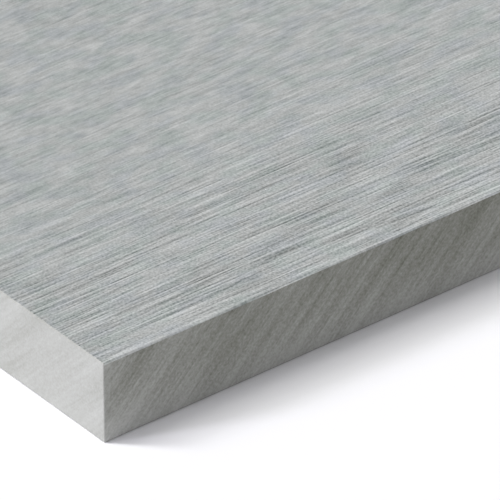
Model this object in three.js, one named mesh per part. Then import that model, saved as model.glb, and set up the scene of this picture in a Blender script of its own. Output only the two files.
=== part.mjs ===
// Fibre cement facade panel: one uncut stock sheet, lying flat with its sanded face up.
// Millimetres, +Z up. The origin is the centre of the back face. +X runs along the length of
// the sheet and along its sanding lines, +Y across the width, and +Z out of the sanded face.
import * as THREE from "three";

// The sheet as it is stocked
const sheetLength = 2500;
const sheetWidth = 1250;
const sheetThickness = 8;

// Each sawn edge is eased by a 45 degree flat, where it meets the sanded face and the back
const arris = 0.2;

// Through-coloured grey cement, matt and a little blue
const cementGrey = 0xabafad;
const cementRoughness = 0.85;

// Outline of the sheet at its saw cuts, centred on the origin
function sheetOutline() {
  const halfLength = sheetLength / 2;
  const halfWidth = sheetWidth / 2;
  const outline = new THREE.Shape();
  outline.moveTo(-halfLength, -halfWidth);
  outline.lineTo(halfLength, -halfWidth);
  outline.lineTo(halfLength, halfWidth);
  outline.lineTo(-halfLength, halfWidth);
  outline.closePath();
  return outline;
}

// The bevel takes the arris inwards from the saw cuts, so the sheet keeps its full size
function sheetGeometry() {
  const geometry = new THREE.ExtrudeGeometry(sheetOutline(), {
    depth: sheetThickness - 2 * arris,
    steps: 1,
    bevelEnabled: true,
    bevelThickness: arris,
    bevelSize: arris,
    bevelOffset: -arris,
    bevelSegments: 1,
  });
  // The extrusion starts one arris below zero
  geometry.translate(0, 0, arris);
  return geometry;
}

function fibreCement() {
  return new THREE.MeshStandardMaterial({
    color: cementGrey,
    roughness: cementRoughness,
    metalness: 0,
  });
}

const sheet = new THREE.Mesh(sheetGeometry(), fibreCement());
sheet.name = "fibre_cement_panel";

const facadePanel = new THREE.Group();
facadePanel.add(sheet);

export default facadePanel;
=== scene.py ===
# Fibre cement facade panel: one stock sheet with a sanded face, lying flat on a pale studio floor
import math

import bmesh
import bpy
from mathutils import Matrix, Vector


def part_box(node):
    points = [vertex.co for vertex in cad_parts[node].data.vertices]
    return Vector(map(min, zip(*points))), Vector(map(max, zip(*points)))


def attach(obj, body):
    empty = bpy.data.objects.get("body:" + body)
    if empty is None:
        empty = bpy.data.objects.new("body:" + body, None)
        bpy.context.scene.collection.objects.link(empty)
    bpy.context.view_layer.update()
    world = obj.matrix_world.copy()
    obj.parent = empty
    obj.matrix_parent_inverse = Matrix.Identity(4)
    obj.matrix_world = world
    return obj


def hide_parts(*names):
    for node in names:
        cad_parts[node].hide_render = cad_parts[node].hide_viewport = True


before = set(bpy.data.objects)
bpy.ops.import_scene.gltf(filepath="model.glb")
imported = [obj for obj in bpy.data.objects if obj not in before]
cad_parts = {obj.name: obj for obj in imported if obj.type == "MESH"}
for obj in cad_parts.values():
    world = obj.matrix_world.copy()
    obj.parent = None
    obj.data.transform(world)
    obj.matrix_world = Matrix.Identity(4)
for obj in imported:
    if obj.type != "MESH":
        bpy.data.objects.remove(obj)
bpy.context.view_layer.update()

mm = 0.001
sheetNode = "fibre_cement_panel"
sheetLow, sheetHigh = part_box(sheetNode)
sheetSize = sheetHigh - sheetLow
nearCorner = sheetLow.copy()   # the foot of the photographed corner
print("frame loaded: sheet", [round(side / mm, 2) for side in sheetSize], "mm")


# Small helpers
def linearColour(hexColour):
    channels = [int(hexColour[i:i + 2], 16) / 255 for i in (1, 3, 5)]
    linear = [c / 12.92 if c <= 0.04045 else ((c + 0.055) / 1.055) ** 2.4 for c in channels]
    return (*linear, 1)


def addNode(tree, kind, settings, inputs):
    # Inputs come by name, or in the node's own order. A node among them is read at its first output in use.
    node = tree.nodes.new(kind)
    for name, value in settings.items():
        setattr(node, name, value)
    for socket, value in inputs.items() if isinstance(inputs, dict) else enumerate(inputs):
        if isinstance(value, bpy.types.Node):
            value = next(output for output in value.outputs if output.enabled)
        if isinstance(value, bpy.types.NodeSocket):
            tree.links.new(value, node.inputs[socket])
        else:
            node.inputs[socket].default_value = value
    return node


def deselectAll():
    bpy.ops.object.select_all(action="DESELECT")


# Camera: a long lens close over one corner
cameraView = {
    "lens": 775,                                  # mm, on a 36 mm sensor
    "heading": 38.06,                             # degrees from +Y towards +X
    "downwards": 33.04,                           # degrees below the horizon
    "roll": -0.344,                               # degrees
    "fromCorner": (-0.45516, -0.60145, 0.50990),  # metres from the corner that it looks at
}


def addCamera(view):
    bpy.ops.object.camera_add()
    camera = bpy.context.object
    camera.name = "cornerCamera"
    camera.data.lens = view["lens"]
    camera.data.sensor_width = 36
    camera.data.clip_start = 0.05
    camera.data.clip_end = 50
    turn = Matrix.Rotation(math.radians(-view["heading"]), 4, "Z")
    tilt = Matrix.Rotation(math.radians(90 - view["downwards"]), 4, "X")
    roll = Matrix.Rotation(math.radians(view["roll"]), 4, "Z")
    place = Matrix.Translation(nearCorner + Vector(view["fromCorner"]))
    camera.matrix_world = place @ turn @ tilt @ roll
    bpy.context.scene.camera = camera


deselectAll()
addCamera(cameraView)
print("camera placed")

# Studio light: a strip softbox beyond the sheet's left, a low fill on its left end, a soft dome.
# Each share is the part of the floor's light that a lamp gives.
studioLight = {
    "stripAzimuth": 135,          # degrees from +X towards +Y
    "stripShares": {40: 0.035, 46: 0.115, 53: 0.115, 60: 0.095, 67: 0.080, 74: 0.115, 81: 0.045},
    "fillShares": {(158, 25): 0.132, (180, 10): 0.117, (290, 8): 0.012},
    "sunWidth": 9,                # degrees across
    "stripTint": "#FFFFFF",
    "fillTint": "#F2F0FF",
    "domeShare": 0.265,
}


def addSun(name, azimuth, elevation, share, tint):
    bpy.ops.object.light_add(type="SUN")
    sun = bpy.context.object
    sun.name = name
    a = math.radians(azimuth)
    e = math.radians(elevation)
    towards = Vector((math.cos(a) * math.cos(e), math.sin(a) * math.cos(e), math.sin(e)))
    sun.rotation_euler = towards.to_track_quat("Z", "Y").to_euler()
    sun.location = towards * 3
    sun.data.energy = math.pi * share / math.sin(e)
    sun.data.angle = math.radians(studioLight["sunWidth"])
    sun.data.color = linearColour(tint)[:3]


def addDome(level):
    # Lights the sheet at its level, and shows the camera plain white
    world = bpy.data.worlds.new("softDome")
    bpy.context.scene.world = world
    world.use_nodes = True
    tree = world.node_tree
    tree.nodes.clear()
    path = addNode(tree, "ShaderNodeLightPath", {}, {})
    light = addNode(tree, "ShaderNodeBackground", {}, {"Color": (1, 1, 1, 1), "Strength": level})
    seen = addNode(tree, "ShaderNodeBackground", {}, {"Color": (1, 1, 1, 1), "Strength": 1})
    both = addNode(tree, "ShaderNodeMixShader", {}, (path.outputs["Is Camera Ray"], light, seen))
    addNode(tree, "ShaderNodeOutputWorld", {}, {"Surface": both})


for elevation, share in studioLight["stripShares"].items():
    addSun(f"strip{elevation}", studioLight["stripAzimuth"], elevation, share, studioLight["stripTint"])
for (azimuth, elevation), share in studioLight["fillShares"].items():
    addSun(f"fill{azimuth}", azimuth, elevation, share, studioLight["fillTint"])
addDome(studioLight["domeShare"])
bpy.context.scene.view_settings.view_transform = "Standard"
print("studio light set")

# Floor: a wide matt white sweep
floorFinish = {"halfSize": 120, "below": 0.02 * mm, "white": "#F6F6F6"}


def addFloor(values):
    bpy.ops.mesh.primitive_plane_add(
        size=2 * values["halfSize"], location=(0, 0, sheetLow.z - values["below"]))
    floor = bpy.context.object
    floor.name = "studio_floor"
    paint = bpy.data.materials.new("mattWhitePaint")   # flat white, so the shadow stays neutral
    paint.use_nodes = True
    shader = paint.node_tree.nodes["Principled BSDF"]
    shader.inputs["Base Color"].default_value = linearColour(values["white"])
    shader.inputs["Roughness"].default_value = 1
    shader.inputs["Specular IOR Level"].default_value = 0
    floor.data.materials.append(paint)


addFloor(floorFinish)
print("floor laid")

# Patterns in real millimetres, each a noise stretched into marks. The relief and the colour both read them.
# The cement's real grain is about 0.1 mm, too fine to show here, so both grains are drawn twice as coarse.
sandingMarks = {
    "stroke": {"long": 16.0, "wide": 0.40, "detail": 0.0, "shift": (3.1, 7.7)},
    "scratch": {"long": 26.0, "wide": 0.60, "detail": 0.0, "shift": (5.9, 1.3)},
    "hair": {"long": 6.5, "wide": 0.18, "detail": 0.0, "shift": (11.3, 2.9)},
    "stub": {"long": 3.4, "wide": 0.55, "detail": 1.0, "shift": (7.4, 6.3)},
    "fleck": {"long": 1.1, "wide": 0.34, "detail": 1.0, "shift": (0.4, 9.8)},
    "grain": {"long": 0.24, "wide": 0.20, "detail": 1.0, "shift": (0.7, 4.1)},
    "field": {"long": 16.0, "wide": 5.0, "detail": 1.0, "shift": (2.3, 8.8)},   # where the grit cut deeper
    "patch": {"long": 3.4, "wide": 2.0, "detail": 1.5, "shift": (6.6, 0.4)},
    "tint": {"long": 4.0, "wide": 2.4, "detail": 1.0, "shift": (1.2, 5.5)},
    "band": {"long": 900.0, "wide": 16.0, "detail": 2.0, "shift": (1.9, 3.3)},
    "cloud": {"long": 160.0, "wide": 110.0, "detail": 3.0, "shift": (4.2, 9.4)},
}
sawMarks = {
    "sweep": {"long": 24.0, "wide": 2.2, "detail": 2.0, "shift": (2.7, 0.9)},
    "tooth": {"long": 11.0, "wide": 0.36, "detail": 1.0, "shift": (8.1, 5.2)},
    "mottle": {"long": 0.8, "wide": 0.5, "detail": 2.0, "shift": (0.3, 6.1)},
    "grain": {"long": 0.26, "wide": 0.22, "detail": 1.0, "shift": (9.7, 2.2)},
    "cloud": {"long": 60.0, "wide": 9.0, "detail": 2.0, "shift": (3.8, 7.1)},
}
markRoughness = 0.55   # how much of a noise is in its finer layers
sawSlope = 45          # degrees that the saw's sweep climbs along each edge

# How the belt cut. A line follows one contour of a noise, out to its spread.
beltCut = {
    # Of the lines on the next row, the last is no cut: it places the painted highlight beside each groove
    "stroke": (0.06, 0.12), "scratch": (0.14, 0.09), "paintedLipHighlight": (0.24, 0.10),
    "field": (-0.15, 0.15), "fieldLeast": 0.6,
    "fullBite": 2 * mm, "leastBiteFrom": 36 * mm, "leastBite": 0.18,   # in from each long edge
}
crest = (0.10, 0.22)   # where a noise's crest starts to show, and where it shows fully

multiply = {"operation": "MULTIPLY"}
subtract = {"operation": "SUBTRACT"}
absolute = {"operation": "ABSOLUTE"}
eased = {"interpolation_type": "SMOOTHSTEP"}   # value, from low, from high, to low, to high


def marked(tree, place, marks):
    # One lattice cell of the noise is long by wide millimetres. The marks swing about zero.
    stretch = (1 / (marks["long"] * mm), 1 / (marks["wide"] * mm), 0)
    laid = addNode(tree, "ShaderNodeVectorMath", {"operation": "MULTIPLY_ADD"}, (
        place, stretch, (*marks["shift"], 0)))
    noise = addNode(tree, "ShaderNodeTexNoise", {"noise_dimensions": "2D"}, {
        "Vector": laid, "Scale": 1, "Detail": marks["detail"], "Roughness": markRoughness})
    return addNode(tree, "ShaderNodeMath", subtract, (noise, 0.5))


def layered(tree, base, layers):
    # base plus each pattern times its weight
    total = base
    for pattern, weight in layers:
        total = addNode(tree, "ShaderNodeMath", {"operation": "MULTIPLY_ADD"}, (pattern, weight, total))
    return total


def summed(tree, base, noises, weights):
    # base plus the noises that the weights name
    return layered(tree, base, [(noises[name], weight) for name, weight in weights.items()])


def crisped(tree, pattern):
    # Leaves only a pattern's crests (1) and troughs (-1), as thin separate lines
    start, full = crest
    high = addNode(tree, "ShaderNodeMapRange", eased, (pattern, start, full, 0, 1))
    deep = addNode(tree, "ShaderNodeMapRange", eased, (pattern, -start, -full, 0, 1))
    return addNode(tree, "ShaderNodeMath", subtract, (high, deep))


def lined(tree, pattern, line):
    # A thin line along one contour of a pattern
    level, spread = line
    above = addNode(tree, "ShaderNodeMath", subtract, (pattern, level))
    away = addNode(tree, "ShaderNodeMath", absolute, (above,))
    return addNode(tree, "ShaderNodeMapRange", eased, (away, 0, spread, 1, 0))


def inFrom(tree, place, axis):
    # Distance in from the nearer end (axis 0) or the nearer long edge (axis 1)
    along = addNode(tree, "ShaderNodeSeparateXYZ", {}, (place,)).outputs[axis]
    fromMiddle = addNode(tree, "ShaderNodeMath", absolute, (along,))
    return addNode(tree, "ShaderNodeMath", subtract, (sheetHigh[axis], fromMiddle))


def beltBite(tree, place):
    # The belt bites hardest along the sheet's long edges
    return addNode(tree, "ShaderNodeMapRange", eased, (
        inFrom(tree, place, 1), beltCut["fullBite"], beltCut["leastBiteFrom"], 1, beltCut["leastBite"]))


def grooveDepth(tree, place):
    # 0 on the sanded land, 1 at the bottom of the deepest groove
    field = marked(tree, place, sandingMarks["field"])
    strength = addNode(tree, "ShaderNodeMapRange", eased, (
        field, *beltCut["field"], beltCut["fieldLeast"], 1))
    strength = addNode(tree, "ShaderNodeMath", multiply, (strength, beltBite(tree, place)))
    stroke = lined(tree, marked(tree, place, sandingMarks["stroke"]), beltCut["stroke"])
    scratch = lined(tree, marked(tree, place, sandingMarks["scratch"]), beltCut["scratch"])
    deeper = addNode(tree, "ShaderNodeMath", {"operation": "MAXIMUM"}, (stroke, scratch))
    return addNode(tree, "ShaderNodeMath", multiply, (deeper, strength))


def alongSaw(tree, place, edge):
    # Turns an edge's own plane so that the saw's sweeps run along X
    slope = math.radians(sawSlope)
    level = {"long": (1, 0), "end": (0, -1)}[edge]
    sweep = (level[0] * math.cos(slope), level[1] * math.cos(slope), math.sin(slope))
    across = (-level[0] * math.sin(slope), -level[1] * math.sin(slope), math.cos(slope))
    parts = [addNode(tree, "ShaderNodeVectorMath", {"operation": "DOT_PRODUCT"}, (place, way))
             for way in (sweep, across)]
    return addNode(tree, "ShaderNodeCombineXYZ", {}, parts)


# The sheet: full size, with the photographed corner cut into fine cells for its grooves
sheetShape = {
    "arris": 0.14 * mm,           # flat along each edge of the sanded face
    "backArris": 0.08 * mm,       # the same along the back
    "cornerArris": 0.06 * mm,     # flat up each corner
    "closeUp": (68 * mm, 58 * mm),
    "cutsAlong": (26, 4),         # 135 cells of 0.5 mm
    "cutsAcross": (27, 19),       # 560 cells of 0.1 mm
    "cutsUp": (19,),              # 20 cells of 0.4 mm
    "grooveDepth": 0.08 * mm,
    "sawDepth": 0.012 * mm,
    "sawCut": (-0.15, 0.15),      # the sweep's swing, from uncut to fully cut
    "smoothUnder": 38,            # degrees between faces that still shade smoothly
    "fade": 4 * mm,               # the relief runs out before the close-up's inner sides
}


def selectEdges(mesh, wanted):
    model = bmesh.from_edit_mesh(mesh)
    for edge in model.edges:
        edge.select = wanted(edge.verts[0].co, edge.verts[1].co)
    model.select_flush_mode()
    bmesh.update_edit_mesh(mesh)


def blockOut(values):
    middle = (sheetLow + sheetHigh) / 2
    bpy.ops.mesh.primitive_cube_add(size=1, location=middle, scale=sheetSize)
    sheet = bpy.context.object
    sheet.name = "sanded_cement_sheet"
    bpy.ops.object.transform_apply(location=True, rotation=True, scale=True)
    bpy.ops.object.mode_set(mode="EDIT")
    bpy.ops.mesh.select_mode(type="EDGE")
    selectEdges(sheet.data, lambda a, b: abs(a.z - b.z) > mm)
    bpy.ops.mesh.bevel(offset=values["cornerArris"], segments=1, affect="EDGES")
    for side, flat in ((sheetHigh.z, values["arris"]), (sheetLow.z, values["backArris"])):
        selectEdges(sheet.data, lambda a, b: max(abs(a.z - side), abs(b.z - side)) < 0.01 * mm)
        bpy.ops.mesh.bevel(offset=flat, segments=1, affect="EDGES")
    alongEnd = sheetLow.x + values["closeUp"][0]
    acrossEnd = sheetLow.y + values["closeUp"][1]
    for point, normal in (((alongEnd, 0, 0), (1, 0, 0)), ((0, acrossEnd, 0), (0, 1, 0))):
        bpy.ops.mesh.select_all(action="SELECT")
        bpy.ops.mesh.bisect(plane_co=point, plane_no=normal)
    bpy.ops.object.mode_set(mode="OBJECT")
    return sheet


def cutCloseUp(sheet, values):
    # Cuts the top and the two near edges inside the close-up, one direction after the other
    ends = (sheetLow.x + values["closeUp"][0], sheetLow.y + values["closeUp"][1])
    slack = 0.01 * mm
    rim = 1.5 * values["arris"]

    def inCloseUp(point):
        return point.x < ends[0] + slack and point.y < ends[1] + slack

    def onSkin(point):
        onTop = point.z > sheetHigh.z - slack
        onLongEdge = point.y < sheetLow.y + rim
        onEnd = point.x < sheetLow.x + rim
        return onTop or onLongEdge or onEnd

    def runs(axis):
        def wanted(a, b):
            if not (inCloseUp(a) and inCloseUp(b)):
                return False
            middle = (a + b) / 2
            span = abs(a[axis] - b[axis])
            return span > 0.5 * (a - b).length and (a - b).length > mm and onSkin(middle)
        return wanted

    bpy.ops.object.mode_set(mode="EDIT")
    for axis, rounds in enumerate((values["cutsAlong"], values["cutsAcross"], values["cutsUp"])):
        for cuts in rounds:
            selectEdges(sheet.data, runs(axis))
            bpy.ops.mesh.subdivide(number_cuts=cuts)
    bpy.ops.object.mode_set(mode="OBJECT")


deselectAll()
sheet = blockOut(sheetShape)
cutCloseUp(sheet, sheetShape)
print("sheet cut:", len(sheet.data.polygons), "faces")


def addRelief(sheet, values):
    # Grooves go down into the top and saw marks into the two near edges, and nothing goes outwards
    group = bpy.data.node_groups.new("sandedRelief", "GeometryNodeTree")
    for way in ("INPUT", "OUTPUT"):
        group.interface.new_socket("Geometry", in_out=way, socket_type="NodeSocketGeometry")
    source = addNode(group, "NodeGroupInput", {}, {})
    place = addNode(group, "GeometryNodeInputPosition", {}, {})
    axes = addNode(group, "ShaderNodeSeparateXYZ", {}, (place,)).outputs
    arris = values["arris"]
    fades = []
    for axis in (0, 1):
        end = sheetLow[axis] + values["closeUp"][axis]
        start = end - values["fade"]
        fades.append(addNode(group, "ShaderNodeMapRange", eased, (axes[axis], start, end, 1, 0)))
    inside = addNode(group, "ShaderNodeMath", multiply, fades)
    onTop = addNode(group, "ShaderNodeMapRange", eased, (
        axes[2], sheetHigh.z - 2 * arris, sheetHigh.z - 1.1 * arris, 0, 1))
    down = addNode(group, "ShaderNodeMath", multiply, (grooveDepth(group, place), onTop))
    cuts = {2: (down, -values["grooveDepth"])}
    for axis, edge in ((1, "long"), (0, "end")):
        low = sheetLow[axis]
        onEdge = addNode(group, "ShaderNodeMapRange", eased, (
            axes[axis], low + 0.2 * arris, low + arris, 1, 0))
        sweep = marked(group, alongSaw(group, place, edge), sawMarks["sweep"])
        cut = addNode(group, "ShaderNodeMapRange", eased, (sweep, *values["sawCut"], 0, 1))
        corner = sheetLow[1 - axis]
        fromCorner = addNode(group, "ShaderNodeMapRange", eased, (
            axes[1 - axis], corner + arris, corner + 5 * arris, 0, 1))
        cut = addNode(group, "ShaderNodeMath", multiply, (cut, onEdge))
        cut = addNode(group, "ShaderNodeMath", multiply, (cut, fromCorner))
        cuts[axis] = (cut, values["sawDepth"])
    lengths = {}
    for axis, (cut, depth) in cuts.items():
        kept = addNode(group, "ShaderNodeMath", multiply, (cut, inside))
        lengths[axis] = addNode(group, "ShaderNodeMath", multiply, (kept, depth))
    offset = addNode(group, "ShaderNodeCombineXYZ", {}, lengths)
    moved = addNode(group, "GeometryNodeSetPosition", {}, {"Geometry": source, "Offset": offset})
    addNode(group, "NodeGroupOutput", {}, (moved,))
    modifier = sheet.modifiers.new("relief", "NODES")
    modifier.node_group = group
    deselectAll()
    sheet.select_set(True)
    bpy.context.view_layer.objects.active = sheet
    bpy.ops.object.modifier_apply(modifier=modifier.name)


addRelief(sheet, sheetShape)
print("grooves sanded in")


# Finishes
def newFinish(name):
    finish = bpy.data.materials.new(name)
    finish.use_nodes = True
    tree = finish.node_tree
    return finish, tree, addNode(tree, "ShaderNodeTexCoord", {}, {}).outputs["Object"]


def setFinish(tree, values, share, dark, light, height):
    # The share runs from the dark colour (0) to the light one (1). Sockets 6 and 7 are a mix's colours.
    shader = tree.nodes["Principled BSDF"]
    shader.inputs["Roughness"].default_value = values["roughness"]
    shader.inputs["IOR"].default_value = 1.5
    shader.inputs["Specular IOR Level"].default_value = values["specular"]
    kept = addNode(tree, "ShaderNodeClamp", {}, (share, 0, 1))
    colour = addNode(tree, "ShaderNodeMix", {"data_type": "RGBA"}, {0: kept, 6: dark, 7: light})
    bump = addNode(tree, "ShaderNodeBump", {}, {"Height": height, "Distance": values["bump"], "Strength": 1})
    tree.links.new(colour.outputs[2], shader.inputs["Base Color"])
    tree.links.new(bump.outputs[0], shader.inputs["Normal"])


sandedFinish = {
    "greenDark": "#757D79", "greenLight": "#C6CBC7",
    "blueDark": "#767C7B", "blueLight": "#C7CACA",
    "warmDark": "#787B78", "warmLight": "#C9CBC8",
    "roughness": 0.9, "specular": 0.04,   # open, dusty pores scatter what a gloss would reflect
    "bump": 0.03 * mm, "heights": {"hair": 1, "grain": 0.6},
    "hueSwing": (-0.14, 0.16),   # where a noise is all one hue and all the other
    "base": 0.58,                # from the dark colours (0) to the light ones (1)
    "tones": {"patch": 0.10, "band": 0.10, "cloud": 0.12},
    "marks": {"hair": 0.20, "grain": 0.9, "fleck": 0.20},
    "burr": 0.19,   # crisp light and dark hairs
    "paintedLipHighlight": 0.13,    # painted highlight along one side of each groove, standing in for its lit flank
    "groove": 0.28,
    "broad": {"stub": 0.50, "fleck": 0.40, "patch": 0.24},   # softer marks where the belt bit less
    "broadBase": -0.09,
    "rim": 0.12, "paintedEdgeHighlightWidth": (0.1 * mm, 0.9 * mm),   # a painted highlight along each long edge of the top, over its arris, where the edge catches the light
}


def sandedCement(values):
    # Fibre cement sanded dry with a belt: matt, grey, streaked where the grit opened the skin
    finish, tree, place = newFinish("beltSandedCement")
    noises = {name: marked(tree, place, sandingMarks[name])
              for name in ("stroke", "hair", "stub", "fleck", "grain", "patch", "tint", "band", "cloud")}
    marks = summed(tree, 0, noises, values["marks"])
    # Crisp light and dark hairs, and a painted highlight along one side of each groove
    marks = layered(tree, marks, [(crisped(tree, noises["hair"]), values["burr"]),
                                  (lined(tree, noises["stroke"], beltCut["paintedLipHighlight"]), values["paintedLipHighlight"])])
    bite = beltBite(tree, place)
    spared = addNode(tree, "ShaderNodeMath", subtract, (1, bite))
    broad = summed(tree, values["broadBase"], noises, values["broad"])
    tone = summed(tree, values["base"], noises, values["tones"])
    tone = layered(tree, tone, [(broad, spared)])
    # Painted highlight along each long edge, over the arris and the first millimetre of the top
    rim = addNode(tree, "ShaderNodeMapRange", eased, (inFrom(tree, place, 1), *values["paintedEdgeHighlightWidth"], 1, 0))
    share = layered(tree, tone, [(marks, bite), (grooveDepth(tree, place), -values["groove"]),
                                 (rim, values["rim"])])
    warmth = addNode(tree, "ShaderNodeMapRange", eased, (noises["patch"], *values["hueSwing"], 0, 1))
    blueness = addNode(tree, "ShaderNodeMapRange", eased, (noises["tint"], *values["hueSwing"], 0, 1))
    ends = []
    for end in ("Dark", "Light"):
        green, blue, warm = [linearColour(values[hue + end]) for hue in ("green", "blue", "warm")]
        cool = addNode(tree, "ShaderNodeMix", {"data_type": "RGBA"}, {0: blueness, 6: green, 7: blue})
        ends.append(addNode(tree, "ShaderNodeMix", {"data_type": "RGBA"}, {0: warmth, 6: cool, 7: warm}))
    height = summed(tree, 0.5, noises, values["heights"])
    setFinish(tree, values, share, *ends, height)
    return finish


sawnFinish = {
    "dark": "#585A4A", "light": "#D0D1CE",
    "roughness": 0.9, "specular": 0.25,
    "toothHeight": 0.02 * mm, "heights": {"tooth": 1, "grain": 0.5},
    "marks": {"sweep": 0.42, "tooth": 0.08, "mottle": 0.20, "grain": 0.30, "cloud": 0.13},
    "score": 0.05,
    # Painted light and shade: the ends take a paler base with less than half the contrast and the long edges
    # a darker base with full contrast, lit and shaded copies of one sawn cement; the long edges are also
    # painted paler at their foot and near their corners
    "paintedFootLightHeight": 6 * mm, "paintedCornerLightReach": 13 * mm,
    "long": {"base": 0.31, "swing": 1.0, "paintedFootLight": 0.27, "corner": 0.17},
    "end": {"base": 0.44, "swing": 0.42, "paintedFootLight": 0.0, "corner": 0.0},
}


def sawnCement(values, edge):
    # The through-coloured core as the saw left it: matt, a little olive, with slanting sweeps
    finish, tree, place = newFinish("sawnCementPaintedLight_" + edge)
    slanted = alongSaw(tree, place, edge)
    noises = {name: marked(tree, slanted, marks) for name, marks in sawMarks.items()}
    # Each edge takes its own copy, paler and flatter on the ends and darker on the long edges, as painted
    # light and shade
    own = values[edge]
    share = layered(tree, own["base"], [
        (noises[name], weight * own["swing"]) for name, weight in values["marks"].items()])
    # Painted light: the long edges grow paler towards their foot, standing in for the bounce light that the
    # floor's shadow beside them takes away
    up = addNode(tree, "ShaderNodeSeparateXYZ", {}, (place,)).outputs[2]
    paintedFootLightTop = sheetLow.z + values["paintedFootLightHeight"]
    paintedFootLight = addNode(tree, "ShaderNodeMapRange", {}, (up, sheetLow.z, paintedFootLightTop, 1, 0))
    paintedFootLight = addNode(tree, "ShaderNodeMath", {"operation": "POWER"}, (paintedFootLight, 2))
    # Painted light: the long edges grow paler towards each end, standing in for the extra light from the
    # fills and the unshadowed floor near the corners
    corner = addNode(tree, "ShaderNodeMapRange", {}, (
        inFrom(tree, place, 0), 0, values["paintedCornerLightReach"], 1, 0))
    corner = addNode(tree, "ShaderNodeMath", {"operation": "POWER"}, (corner, 2))
    share = layered(tree, share, [(crisped(tree, noises["tooth"]), values["score"] * own["swing"]),
                                  (paintedFootLight, own["paintedFootLight"]), (corner, own["corner"])])
    height = summed(tree, 0.5, noises, values["heights"])
    surface = {**values, "bump": values["toothHeight"] * own["swing"]}
    setFinish(tree, surface, share, linearColour(values["dark"]), linearColour(values["light"]), height)
    return finish


backFinish = {
    "dark": "#8C8E8B", "light": "#AFB1AE",
    "roughness": 0.85, "specular": 0.3, "bump": 0.02 * mm,
    "cloud": 1.2, "mottle": 0.8,
}


def plainBack(values):
    # The unsanded back, pressed smooth against its felt: even and faintly cloudy
    finish, tree, place = newFinish("pressedCementBack")
    cloud = marked(tree, place, sandingMarks["cloud"])
    mottle = marked(tree, place, sawMarks["mottle"])
    share = layered(tree, 0.5, [(cloud, values["cloud"]), (mottle, values["mottle"])])
    setFinish(tree, values, share, linearColour(values["dark"]), linearColour(values["light"]), mottle)
    return finish


def sideOf(face, rim):
    # Which finish a face takes, by its place. The arrises go with the sawn edges, but for the top one
    # of each long edge, which the belt has reached.
    centre = face.center
    fromEnd = min(centre.x - sheetLow.x, sheetHigh.x - centre.x)
    fromLong = min(centre.y - sheetLow.y, sheetHigh.y - centre.y)
    if fromEnd < fromLong + 0.01 * mm and fromEnd < 0.9 * rim:
        return "end"
    if fromLong < 0.9 * rim and not face.normal.z > 0.5:
        return "long"
    return "top" if centre.z > sheetSize.z / 2 else "back"


def dress(sheet, shape):
    finishes = {"top": sandedCement(sandedFinish), "long": sawnCement(sawnFinish, "long"),
                "end": sawnCement(sawnFinish, "end"), "back": plainBack(backFinish)}
    names = list(finishes)
    for name in names:
        sheet.data.materials.append(finishes[name])
    for face in sheet.data.polygons:
        face.material_index = names.index(sideOf(face, 1.01 * shape["arris"]))


dress(sheet, sheetShape)
deselectAll()
sheet.select_set(True)
bpy.context.view_layer.objects.active = sheet
bpy.ops.object.shade_smooth_by_angle(angle=math.radians(sheetShape["smoothUnder"]))
print("finishes laid on")


# Map for the baked textures, which are laid through a UV map of this name. The photographed corner
# takes nine to eleven texels a millimetre and the rest of the sheet shares what is left.
exportMap = {
    "name": "OFBake",
    "side": 1024,
    "panels": {   # the two axes that lie across and up, and left, bottom, right, top in texels
        "closeTop": ((0, 1), (4, 4, 604, 664)),
        "closeEnd": ((2, 1), (612, 4, 692, 664)),
        "closeLong": ((0, 2), (4, 672, 604, 742)),
        "back": ((1, 0), (700, 4, 1020, 664)),
        "nearEnd": ((1, 2), (612, 672, 1020, 678)),
        "farEnd": ((1, 2), (612, 684, 1020, 690)),
        "nearLong": ((0, 2), (4, 748, 1020, 754)),
        "farLong": ((0, 2), (4, 760, 1020, 766)),
        "wholeTop": ((0, 1), (4, 772, 1020, 1020)),
    },
}


def panelOf(face, rim, ends):
    centre = face.center
    side = sideOf(face, rim)
    if side == "back":
        return "back"
    if centre.x < ends.x and centre.y < ends.y:
        return "close" + side.capitalize()
    if side == "top":
        return "wholeTop"
    far = centre.x > 0 if side == "end" else centre.y > 0
    return ("far" if far else "near") + side.capitalize()


def layOut(sheet, values, shape):
    layer = sheet.data.uv_layers.new(name=values["name"])
    closeSize = Vector((*shape["closeUp"], sheetSize.z))
    ends = sheetLow + closeSize
    for face in sheet.data.polygons:
        panel = panelOf(face, 1.01 * shape["arris"], ends)
        axes, (left, bottom, right, top) = values["panels"][panel]
        size = closeSize if panel.startswith("close") else sheetSize
        for corner in face.loop_indices:
            point = sheet.data.vertices[sheet.data.loops[corner].vertex_index].co - sheetLow
            across = left + (right - left) * point[axes[0]] / size[axes[0]]
            up = bottom + (top - bottom) * point[axes[1]] / size[axes[1]]
            layer.data[corner].uv = (across / values["side"], up / values["side"])


layOut(sheet, exportMap, sheetShape)
print("export map laid out:", sum(len(face.vertices) - 2 for face in sheet.data.polygons), "triangles")

# The sheet takes the solid's place
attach(sheet, "root")
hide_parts(sheetNode)
